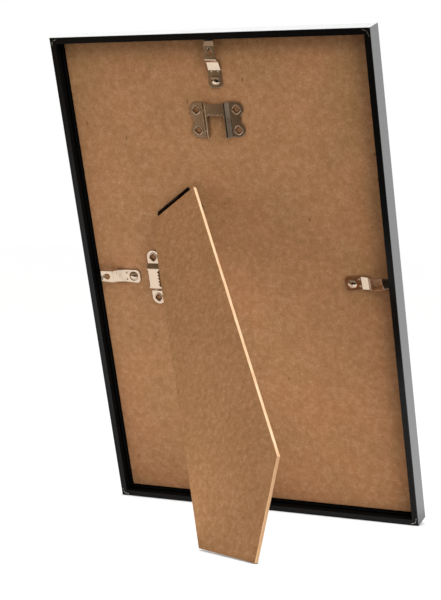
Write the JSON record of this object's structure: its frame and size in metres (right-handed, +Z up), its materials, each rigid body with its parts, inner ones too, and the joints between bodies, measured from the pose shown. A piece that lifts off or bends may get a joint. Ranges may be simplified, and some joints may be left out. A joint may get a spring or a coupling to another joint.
{
  "type": "easel back photo frame",
  "caption": "Upright photo frame with mitred rails, a glazed front, a hardboard back held by turning spring clips, sawtooth hangers and a folding easel strut.",
  "frame": {"origin": "on the floor, under the middle of the box round the standing frame", "axes": "+Z up, the picture faces -Y, the strut stands out to +Y, +X to the right seen from the front"},
  "size_m": [0.21, 0.1686, 0.2979],
  "materials": {
    "rail_moulding": "satin",
    "nail_steel": "dull",
    "glass": "polished",
    "paper": "matte",
    "hardboard": "raw hardboard",
    "plated_steel": "bright plated",
    "black_hinge": "black",
    "rivet_steel": "plain"
  },
  "bodies": {
    "frame": {"rail_top": "rail_moulding", "rail_left": "rail_moulding", "rail_bottom": "rail_moulding", "rail_right": "rail_moulding", "corner_nails": "nail_steel", "glazing_pane": "glass", "print_sheet": "paper", "hanger_portrait": "plated_steel", "hanger_landscape": "plated_steel", "back_board": "hardboard", "clip_rivets": "plated_steel", "hinge_board_leaf": "black_hinge", "hinge_pin": "black_hinge", "hinge_board_rivets": "black_hinge"},
    "easel_strut": {"strut": "hardboard", "hinge_strut_leaf": "black_hinge", "hinge_strut_rivets": "rivet_steel"},
    "turn_clip_top": {"clip_top": "plated_steel"},
    "turn_clip_left": {"clip_left": "plated_steel"},
    "turn_clip_bottom": {"clip_bottom": "plated_steel"},
    "turn_clip_right": {"clip_right": "plated_steel"}
  },
  "joints": [
    {"name": "strut_fold", "type": "hinge", "parent": "frame", "child": "easel_strut", "pos_m": [0.0382, -0.01357, 0.19518], "axis": [-0.8202, 0.1808, 0.5428], "range_deg": [0, 38.6]},
    {"name": "clip_top_turn", "type": "hinge", "parent": "frame", "child": "turn_clip_top", "pos_m": [-0.0011, 0.00934, 0.26807], "axis": [0, 0.9487, -0.316], "range_deg": [-88.8, 91.2]},
    {"name": "clip_left_turn", "type": "hinge", "parent": "frame", "child": "turn_clip_left", "pos_m": [0.075, -0.03044, 0.14863], "axis": [0, 0.9487, -0.316], "range_deg": [-87.7, 92.3]},
    {"name": "clip_bottom_turn", "type": "hinge", "parent": "frame", "child": "turn_clip_bottom", "pos_m": [0.0025, -0.06966, 0.03088], "axis": [0, 0.9487, -0.316], "range_deg": [-90, 90]},
    {"name": "clip_right_turn", "type": "hinge", "parent": "frame", "child": "turn_clip_right", "pos_m": [-0.075, -0.03016, 0.14948], "axis": [0, 0.9487, -0.316], "range_deg": [-95, 85]}
  ]
}
